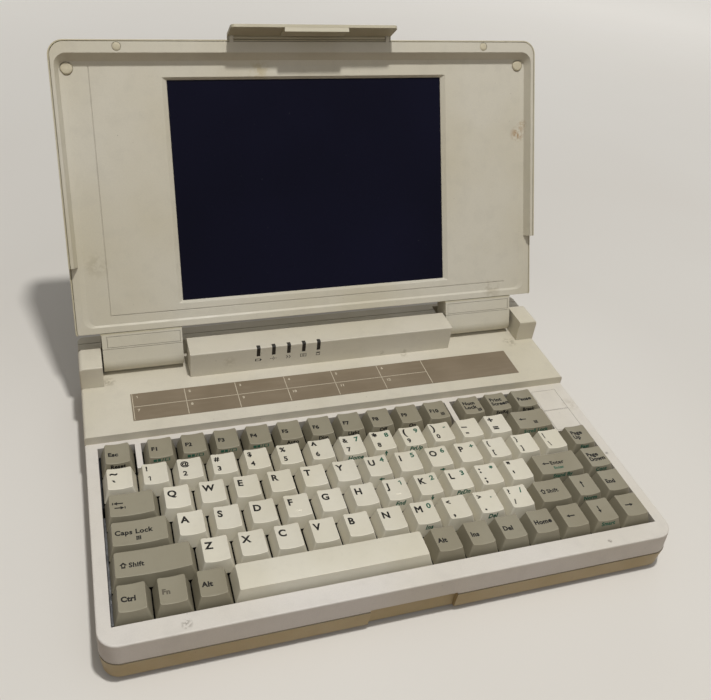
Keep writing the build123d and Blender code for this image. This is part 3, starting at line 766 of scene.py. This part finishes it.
def figure_one(height):
    """The figure 1 with its flag, its foot at the origin."""
    stroke = 0.19 * height
    stem_x = (0.28 * height, 0.28 * height + stroke)
    flag = [(0.02 * height, 0.70 * height), (stem_x[0], 0.82 * height)]
    flag += [(stem_x[1], height), (stem_x[0], height), (0.02 * height, 0.70 * height + stroke)]
    return merged([rectangle(stem_x, (0, height)), flat(flag, [(0, 1, 2, 3, 4)])])


def arrow(length, turn=0):
    """Arrow along +X, turned by a number of right angles, about its middle."""
    half = length / 2
    neck = half - ARROW_HEAD
    wide = ARROW_SHAFT / 2
    points = [(-half, -wide), (neck, -wide), (neck, wide), (-half, wide)]
    points += [(neck, -ARROW_SPREAD), (half, 0), (neck, ARROW_SPREAD)]
    angle = turn * pi / 2
    across = np.array([(cos(angle), sin(angle)), (-sin(angle), cos(angle))])
    return flat(np.array(points) @ across, [(0, 1, 2, 3), (4, 5, 6)])


def rectangle(x, y):
    return flat([(x[0], y[0]), (x[1], y[0]), (x[1], y[1]), (x[0], y[1])], [(0, 1, 2, 3)])


def outline_of(points, inner_share):
    """Band between a polygon and the same polygon drawn in to its middle."""
    outer = np.array(points, dtype=float)
    middle = outer.mean(axis=0)
    inner = middle + (outer - middle) * inner_share
    count = len(points)
    faces = [(i, (i + 1) % count, count + (i + 1) % count, count + i) for i in range(count)]
    return flat(np.concatenate([outer, inner]), faces)


def shift_arrow():
    """Outlined arrow pointing up."""
    points = [(0, 1.9), (-1.9, 0.1), (-1.0, 0.1), (-1.0, -1.7), (1.0, -1.7), (1.0, 0.1), (1.9, 0.1)]
    return outline_of(points, 0.46)


def tab_arrows():
    """Two arrows against bars, one each way."""
    left = [moved(arrow(5.0, 2), 0, 1.5), rectangle((-3.1, -2.6), (0.7, 2.3))]
    right = [moved(arrow(5.0), 0.5, -1.5), rectangle((3.1, 3.6), (-2.3, -0.7))]
    return merged(left + right)


def lock_mark():
    """Small square mark of nine blocks."""
    size = 0.74
    step = 0.86
    places = [(i * step, j * step) for i in range(3) for j in range(3)]
    return merged([rectangle((x, x + size), (y, y + size)) for x, y in places])


def disk_mark():
    """Two filled blocks, a stroke and an outlined block."""
    box = [(1.7, -0.9), (4.6, -0.9), (4.6, 0.9), (1.7, 0.9)]
    stroke = flat([(0.0, -1.0), (0.5, -1.0), (1.3, 1.0), (0.8, 1.0)], [(0, 1, 2, 3)])
    blocks = [rectangle((-4.6, -2.7), (-0.8, 0.8)), rectangle((-2.3, -0.5), (-0.8, 0.8))]
    return merged(blocks + [stroke, outline_of(box, 0.66)])


def on_top(shape, key, x, y):
    """Flat shape laid on a key's top, x from its left edge and y down from its back edge."""
    key_x, key_y, units = key
    half = (units * PITCH - KEY_GAP) / 2 - KEY_TOP_INSET
    points = shape[0] + np.array([x - half, KEY_TOP_SHIFT + KEY_TOP_HALF_DEPTH - y, 0])
    height = top_height(points[:, 0], points[:, 1], units) + INK_LIFT + shape[0][:, 2]
    return np.stack([points[:, 0] + key_x, points[:, 1] + key_y, height], axis=1), shape[1]


def on_front(shape, key, down=3.2):
    """Flat shape laid on a key's front face, its middle down from the top edge."""
    key_x, key_y, _ = key
    foot = np.array([key_y - (PITCH - KEY_GAP) / 2, KEY_BASE_Z])
    edge = np.array([key_y + KEY_TOP_SHIFT - KEY_TOP_HALF_DEPTH, KEY_TOP_Z])
    up = (edge - foot) / np.linalg.norm(edge - foot)
    points = shape[0] - (shape[0].max(axis=0) + shape[0].min(axis=0)) / 2
    lift = FRONT_INK_LIFT + shape[0][:, 2]
    place = edge + np.outer(points[:, 1] - down, up) + np.outer(lift, [-up[1], up[0]])
    return np.concatenate([(points[:, 0] + key_x)[:, None], place], axis=1), shape[1]


# Heights of the capitals, and strokes as a share of them
LETTER = 4.1
SIGN = 3.2
SMALL_SIGN = 4.64
SIGN_BOLD = 0.06
WORD = 2.7
WORD_BOLD = 0.075
LINE_STEP = 3.7
FRONT_LETTER = 2.5
FRONT_WORD = 2.3
KEYPAD = dict(zip("7890UIOPJKL;M./", "789-456+123*0./"))
FRONTS = {"7": "Home", "9": "PgUp", "J": "End", "L": "PgDn", "M": "Ins", ".": "Del"}
SMALL_SIGNS = "~`^*()_-+=:;\"',."
FRONT_ARROWS = {"8": 1, "U": 2, "O": 0, "K": 3}
FRONT_WORDS = {
    "key_escape": ["Reset"],
    "key_enter": ["Stand By"],
    "key_arrow_up": ["Norm"],
    "key_arrow_down": ["Smart"],
    "keys_navigation": ["", "", "", "", "Cont", "Fast"],
    "keys_function": ["", "", "", "", "Auto", "Dim", "Light", "Off", "On"],
    "keys_system": ["", "SysRq", "Break"],
    "key_backspace": ["Scroll Lock"],
}
CHARACTERS = {
    "keys_number_row": list(zip("~!@#$%^&*()_+", "`1234567890-=")),
    "keys_upper_row": [*"QWERTYUIOP", ("{", "["), ("}", "]"), ("|", "\\")],
    "keys_home_row": [*"ASDFGHJKL", (":", ";"), ('"', "'")],
    "keys_lower_row": [*"ZXCVBNM", ("<", ","), (">", "."), ("?", "/")],
}
WORDS = {
    "keys_function": [f"F{i}" for i in range(1, 11)],
    "keys_system": ["Num Lock", "Print Screen", "Pause"],
    "keys_navigation": ["Ins", "Del", "Home", "End", "Page Down", "Page Up"],
    "key_escape": ["Esc"],
    "key_control": ["Ctrl"],
    "key_fn": ["Fn"],
    "key_left_alt": ["Alt"],
    "key_right_alt": ["Alt"],
}


def character_legends(key, character):
    """Black and green shapes of one character key."""
    black = []
    green = []
    if isinstance(character, tuple):
        upper, lower = character
        for sign, x, y in ((upper, 1.5, 2.0), (lower, 2.3, 9.2)):
            height = SMALL_SIGN if sign in SMALL_SIGNS else SIGN
            shape = lettering(sign, height, bold=SIGN_BOLD)
            black.append(on_top(shape, key, x, y + (height + SIGN) / 2))
    else:
        lower = character
        black.append(on_top(lettering(character, LETTER), key, 1.5, 2.8 + LETTER))
    if lower in KEYPAD:
        green.append(on_top(lettering(KEYPAD[lower], SIGN), key, 9.0, 1.9 + SIGN))
    if lower in FRONTS:
        green.append(on_front(lettering(FRONTS[lower], FRONT_LETTER, 0.28), key))
    if lower in FRONT_ARROWS:
        green.append(on_front(arrow(3.4, FRONT_ARROWS[lower]), key))
    return black, green


def word_legend(key, word):
    """One or two short lines at the middle of the left side."""
    lines = word.split()
    first = 4.2 if len(lines) > 1 else 6.7
    shapes = [lettering(line, WORD, bold=WORD_BOLD) for line in lines]
    return [on_top(shape, key, 1.4, first + WORD + LINE_STEP * i) for i, shape in enumerate(shapes)]


def special_legends(node, key):
    """Signs of the wide keys and the arrow keys."""
    shapes = {
        "key_tab": [(tab_arrows(), 4.4, 7.8)],
        "key_caps_lock": [(lettering("Caps Lock", 2.8), 1.3, 8.4), (lock_mark(), 11.6, 12.6)],
        "key_left_shift": [(shift_arrow(), 4.0, 8.2), (lettering("Shift", 2.6), 6.6, 9.6)],
        "key_right_shift": [(shift_arrow(), 3.2, 7.6), (lettering("Shift", 2.5), 5.6, 8.9)],
        "key_enter": [(arrow(5.0, 2), 6.0, 7.0), (lettering("Enter", 2.6), 9.0, 8.2)],
        "key_backspace": [(arrow(5.2, 2), 5.4, 7.0), (lock_mark(), 12.0, 11.6)],
        "key_arrow_up": [(arrow(5.0, 1), 5.4, 6.6)],
        "key_arrow_left": [(arrow(5.2, 2), 5.4, 7.6)],
        "key_arrow_down": [(arrow(5.0, 3), 5.2, 6.8)],
        "key_arrow_right": [(arrow(5.2), 5.4, 7.4)],
    }
    return [on_top(shape, key, x, y) for shape, x, y in shapes.get(node, [])]


def node_legends(node):
    """Black and green shapes of all the keys of one node."""
    keys = key_places(node)
    black = special_legends(node, keys[0])
    green = []
    on_fronts = black if node in ("keys_function", "keys_system", "key_escape") else green
    for key, character in zip(keys, CHARACTERS.get(node, [])):
        more_black, more_green = character_legends(key, character)
        black += more_black
        green += more_green
    for key, word in zip(keys, WORDS.get(node, [])):
        black += word_legend(key, word)
    for key, word in zip(keys, FRONT_WORDS.get(node, [])):
        if word:
            on_fronts.append(on_front(lettering(word, FRONT_WORD), key, 2.8))
    if node == "keys_function":
        green += [on_front(disk_mark(), key, 2.5) for key in keys[:4]]
        black.append(on_top(lock_mark(), keys[9], 8.0, 12.6))
    if node == "keys_system":
        black.append(on_top(lock_mark(), keys[0], 9.4, 13.6))
    if node == "key_enter":
        green.append(on_top(lettering("Enter", 1.9), keys[0], 9.6, 11.8))
    return black, green


for node in [*KEYS, "keys_navigation"]:
    black, green = node_legends(node)
    slot = "key_light" if node in LIGHT_NODES else "key_dark"
    if black:
        ink = grey_ink if node == "key_fn" else black_ink
        add_piece("legends_" + node, merged(black), ink, node)
    if green:
        add_piece("green_legends_" + node, merged(green), green_ink, node)


# Label strip and lamp signs


def on_strip(shape, x, y):
    return moved(shape, x, y, STRIP_TOP + INK_LIFT)


def strip_print():
    """Thin lines between the cells, with a plain number in each."""
    front, back = STRIP_Y
    middle = (front + back) / 2
    half = 0.2
    first = STRIP_LEFT + 0.9
    across = (first + 0.3, first - 0.3 + CELLS * CELL_WIDTH)
    shapes = [on_strip(rectangle(across, (-half, half)), 0, middle)]
    for i in range(CELLS + 1):
        line = rectangle((-half, half), (front + 0.3, back - 0.3))
        shapes.append(on_strip(line, first + i * CELL_WIDTH, 0))
    for i in range(2 * CELLS):
        x = first + 2.3 + (i % CELLS) * CELL_WIDTH
        top = back if i < CELLS else middle
        shapes.append(on_strip(lettering(str(i + 1), 1.9), x, top - 4.2))
    return merged(shapes)


def battery_sign():
    body = [(-1.5, -0.7), (1.2, -0.7), (1.2, 0.7), (-1.5, 0.7)]
    return [outline_of(body, 0.66), rectangle((1.2, 1.6), (-0.3, 0.3))]


def lamp_sign():
    """Ring with four rays."""
    ring = [(0.6 * cos(k * pi / 6), 0.6 * sin(k * pi / 6)) for k in range(12)]
    rays = [rectangle((-1.7, -0.9), (-0.12, 0.12)), rectangle((0.9, 1.7), (-0.12, 0.12))]
    rays += [rectangle((-0.12, 0.12), (-1.2, -0.8)), rectangle((-0.12, 0.12), (0.8, 1.2))]
    return [outline_of(ring, 0.6)] + rays


def speed_sign():
    """Two open angles pointing right."""
    chevron = [(-0.5, -0.9), (-0.1, -0.9), (0.5, 0.0), (-0.1, 0.9), (-0.5, 0.9), (0.1, 0.0)]
    faces = [(0, 1, 2, 5), (5, 2, 3, 4)]
    return [moved(flat(chevron, faces), -0.7), moved(flat(chevron, faces), 0.6)]


def drive_sign():
    """Ring in an outlined case."""
    case = [(-1.5, -0.95), (1.5, -0.95), (1.5, 0.95), (-1.5, 0.95)]
    ring = [(0.55 * cos(k * pi / 6), 0.55 * sin(k * pi / 6)) for k in range(12)]
    return [outline_of(case, 0.8), outline_of(ring, 0.5)]


def diskette_sign():
    """Square with its shutter and label."""
    case = [(-1.0, -1.0), (1.0, -1.0), (1.0, 1.0), (-1.0, 1.0)]
    return [outline_of(case, 0.74), rectangle((-0.5, 0.5), (0.25, 0.8))]


def on_bar(shape, x):
    """Flat shape on the front of the status bar, enlarged by SIGN_SCALE."""
    points, faces = shape
    across, up, _ = SIGN_SCALE * points.T
    front = np.full(len(points), BAR_FRONT - INK_LIFT)
    return np.stack([across + x, front, up + SIGN_Z], axis=1), faces


add_piece("strip_print", strip_print(), pale_ink, "base")
SIGNS = [battery_sign(), lamp_sign(), speed_sign(), drive_sign(), diskette_sign()]
lamp_signs = [on_bar(shape, x) for x, shapes in zip(WINDOW_X, SIGNS) for shape in shapes]
add_piece("lamp_signs", merged(lamp_signs), black_ink, "base")


# Small turned pieces


def round_pad(radius, low, high, edge):
    """Profile of a disk with a quarter-circle upper edge."""
    angle = np.linspace(0, pi / 2, 6)
    curve = [(radius - edge + edge * cos(a), high - edge + edge * sin(a)) for a in angle]
    return [(0.3, low), (radius, low)] + curve + [(radius * 0.5, high), (0.3, high)]


CAP_PLACES = [(-116.8, 186.4), (116.8, 186.4)]
BUMPER_PLACES = [(-145.4, 175.0), (144.9, 175.0)]
FOOT_PLACES = [(x, y) for x in (-132, 132) for y in (-88, 84)]
SCREW_PLACES = [(x, -99.2) for x in (-146, -60, 60, 146)] + [(x, 99.6) for x in (-146, 146)]

cap_profile = [(0.3, RIM - 1), (2.45, RIM - 1), (2.45, RIM - 0.25)]
cap_profile += [(2.2, RIM), (1.2, RIM + 0.12), (0.3, RIM + 0.16)]
caps = merged([moved(turned(cap_profile), x, up) for x, up in CAP_PLACES])
piece = add_piece("rim_plugs", on_lid(caps), pad_rubber, "lid")
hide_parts("rim_caps")

pads = merged([moved(turned(round_pad(3.55, 5.4, 7.4, 1.1)), x, up) for x, up in BUMPER_PLACES])
piece = add_piece("corner_pads", on_lid(pads), pad_rubber, "lid")
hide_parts("lid_bumpers")


def foot():
    """Round foot with a soft lower edge and a shallow dimple under it."""
    angle = np.linspace(-pi / 2, 0, 6)
    curve = [(5.3 + 0.7 * cos(a), 0.7 + 0.7 * sin(a)) for a in angle]
    return turned([(0.3, 0.35), (3.4, 0.3), (3.9, 0.0)] + curve + [(6.0, 2.0), (0.3, 2.0)])


feet = merged([moved(foot(), x, y) for x, y in FOOT_PLACES])
piece = add_piece("round_feet", feet, foot_rubber, "base")
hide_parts("rubber_feet")


def screw():
    """Pan head whose underside has a cross-shaped recess, on a plain shank."""
    around = 48
    angle = np.linspace(0, 2 * pi, around, endpoint=False)
    radius = np.linspace(0.1, 2.35, 14)[:, None]
    x = radius * np.cos(angle)
    y = radius * np.sin(angle)
    arm = np.minimum(np.abs(x), np.abs(y))
    reach = np.maximum(np.abs(x), np.abs(y))
    recess = np.clip((0.5 - arm) / 0.2, 0, 1) * np.clip((1.7 - reach) / 0.3, 0, 1)
    z = 2.2 + 0.1 * (radius / 2.35) ** 2 + 0.9 * recess
    face = np.stack([x, y, z], axis=-1)
    side = [(2.7, 2.6), (2.7, 3.8), (1.5, 3.8), (1.5, 19.0), (0.2, 19.0)]
    return closed_rings(np.concatenate([face, ring_stack(side, angle)]))


screws = merged([moved(screw(), x, y) for x, y in SCREW_PLACES])
piece = add_piece("cross_screws", screws, steel, "base")
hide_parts("case_screws")


# Port details

# Each port: its middle across, the width of its flange, the contacts in each row and their step
PORTS = [(84.0, 54.0, (13, 12), 2.76), (34.0, 31.0, (5, 5, 5), 2.3), (-4.0, 31.0, (5, 4), 2.76)]
PORT_FACE = 107.4
PORT_FLANGE = 106.5
ROW_STEP = 2.3
POST_INSET = 3.4


def port_pins(x, rows, step):
    """Rows of round contacts, seen from behind, with a step between neighbours."""
    pins = []
    contact = turned([(0.1, 0.0), (0.5, 0.0), (0.5, 0.7), (0.3, 0.85), (0.1, 0.88)], 12)
    for line, count in enumerate(rows):
        height = PORT_Z + ((len(rows) - 1) / 2 - line) * ROW_STEP
        for i in range(count):
            across = x + (i - (count - 1) / 2) * step
            pins.append(moved(facing_back(contact), across, PORT_FACE, height))
    return pins


def hex_post(x):
    """Six-sided screw post beside a port, hollow at its end."""
    angle = np.linspace(0, 2 * pi, 6, endpoint=False)
    profile = [(0.6, 0.1), (2.0, 0.1), (2.0, 0.5), (2.0, 1.9)]
    profile += [(1.75, 2.1), (1.0, 2.1), (1.0, 1.2), (0.3, 1.2)]
    return moved(facing_back(closed_rings(ring_stack(profile, angle))), x, PORT_FLANGE, PORT_Z)


pins = [pin for x, _, rows, step in PORTS for pin in port_pins(x, rows, step)]
add_piece("port_pins", merged(pins), gold, "base", sharp=50)
posts = []
for x, flange, _, _ in PORTS:
    posts += [hex_post(x + side * (flange / 2 - POST_INSET)) for side in (-1, 1)]
add_piece("port_posts", merged(posts), steel, "base", sharp=25)


# Stage, lamps and camera


def table_top():
    """Large round floor at the feet: one flat fan."""
    angle = np.linspace(0, 2 * pi, FLOOR_SIDES, endpoint=False)
    points = FLOOR_RADIUS * np.stack([np.cos(angle), np.sin(angle), np.zeros(FLOOR_SIDES)], axis=1)
    mesh = bpy.data.meshes.new("floor")
    mesh.from_pydata(points.tolist(), [], [tuple(range(FLOOR_SIDES))])
    recipe = Recipe("floor_paint", 0.7, 0.2)
    pale, dull = [colour_value(*tone) for tone in FLOOR_TONES]
    tone = recipe.mix(recipe.blotches(400, 3.0, 0.3, 0.7), pale, dull)
    seen = seen_rays(recipe.tree)
    recipe.colour(recipe.mix(seen, FLOOR_BOUNCE, tone))
    away = recipe.node("ShaderNodeVectorMath", operation="LENGTH")
    recipe.feed(away.inputs[0], recipe.place)
    glow = recipe.spread(away.outputs["Value"], *FLOOR_FADE, 0.0, FLOOR_GLOW)
    recipe.feed(recipe.shader.inputs["Emission Color"], pale)
    recipe.feed(recipe.shader.inputs["Emission Strength"], recipe.product(seen, glow))
    recipe.relief(recipe.noise(1.5, 2.0), 0.01)
    mesh.materials.append(recipe.material)
    floor = bpy.data.objects.new("floor", mesh)
    bpy.context.scene.collection.objects.link(floor)


def lamp(name, kind, level):
    """Lamp of the common colour: its settings, and the object that places it."""
    light = bpy.data.lights.new(name, kind)
    light.energy = level
    light.color = LAMP_COLOUR
    holder = bpy.data.objects.new(name, light)
    bpy.context.scene.collection.objects.link(holder)
    return light, holder


def lamps():
    """A round lamp overhead, and a wide distant one low behind."""
    light, holder = lamp("lamp_above", "AREA", LAMP_POWER)
    light.shape = "DISK"
    light.size = LAMP_WIDTH
    holder.location = LAMP_PLACE
    light, holder = lamp("lamp_behind", "SUN", REAR_LEVEL)
    light.angle = radians(REAR_WIDTH)
    holder.rotation_euler = Vector(REAR_DIRECTION).to_track_quat("Z", "Y").to_euler()


def seen_rays(tree):
    """1 for rays that show the surroundings: to the camera, in gloss and through glass."""
    rays = tree.nodes.new("ShaderNodeLightPath")
    total = rays.outputs["Is Camera Ray"]
    for kind in ("Is Glossy Ray", "Is Transmission Ray"):
        most = tree.nodes.new("ShaderNodeMath")
        most.operation = "MAXIMUM"
        tree.links.new(total, most.inputs[0])
        tree.links.new(rays.outputs[kind], most.inputs[1])
        total = most.outputs[0]
    return total


def surroundings():
    """Soft light, stronger from above and in front; rays that show it see a pale wall."""
    world = bpy.data.worlds.new("surroundings")
    world.use_nodes = True
    tree = world.node_tree
    dim = tree.nodes["Background"]
    dim.inputs["Color"].default_value = (*LAMP_COLOUR, 1.0)
    place = tree.nodes.new("ShaderNodeTexCoord")
    total = tree.nodes.new("ShaderNodeValue").outputs[0]
    total.default_value = SKY_BASE
    for direction, level in SKY.items():
        facing = tree.nodes.new("ShaderNodeVectorMath")
        facing.operation = "DOT_PRODUCT"
        tree.links.new(place.outputs["Generated"], facing.inputs[0])
        facing.inputs[1].default_value = direction
        share = tree.nodes.new("ShaderNodeMapRange")
        tree.links.new(facing.outputs["Value"], share.inputs["Value"])
        share.inputs["To Max"].default_value = level
        more = tree.nodes.new("ShaderNodeMath")
        tree.links.new(total, more.inputs[0])
        tree.links.new(share.outputs["Result"], more.inputs[1])
        total = more.outputs[0]
    tree.links.new(total, dim.inputs["Strength"])
    wall = tree.nodes.new("ShaderNodeBackground")
    wall.inputs["Color"].default_value = colour_value(*WALL_TONE)
    choose = tree.nodes.new("ShaderNodeMixShader")
    tree.links.new(seen_rays(tree), choose.inputs[0])
    tree.links.new(dim.outputs[0], choose.inputs[1])
    tree.links.new(wall.outputs[0], choose.inputs[2])
    tree.links.new(choose.outputs[0], tree.nodes["World Output"].inputs["Surface"])
    bpy.context.scene.world = world


def camera():
    """Camera at the photograph's place, with its small shift."""
    optics = bpy.data.cameras.new("camera")
    optics.sensor_fit = "HORIZONTAL"
    optics.sensor_width = 36
    optics.lens = CAMERA_LENS
    optics.shift_x, optics.shift_y = CAMERA_SHIFT
    optics.clip_start = 0.01
    holder = bpy.data.objects.new("camera", optics)
    axes = Matrix((CAMERA_RIGHT, CAMERA_UP, CAMERA_BACK)).transposed()
    holder.matrix_world = Matrix.Translation(CAMERA_PLACE) @ axes.to_4x4()
    bpy.context.scene.collection.objects.link(holder)
    bpy.context.scene.camera = holder


table_top()
lamps()
surroundings()
camera()
bpy.context.scene.view_settings.view_transform = "Standard"
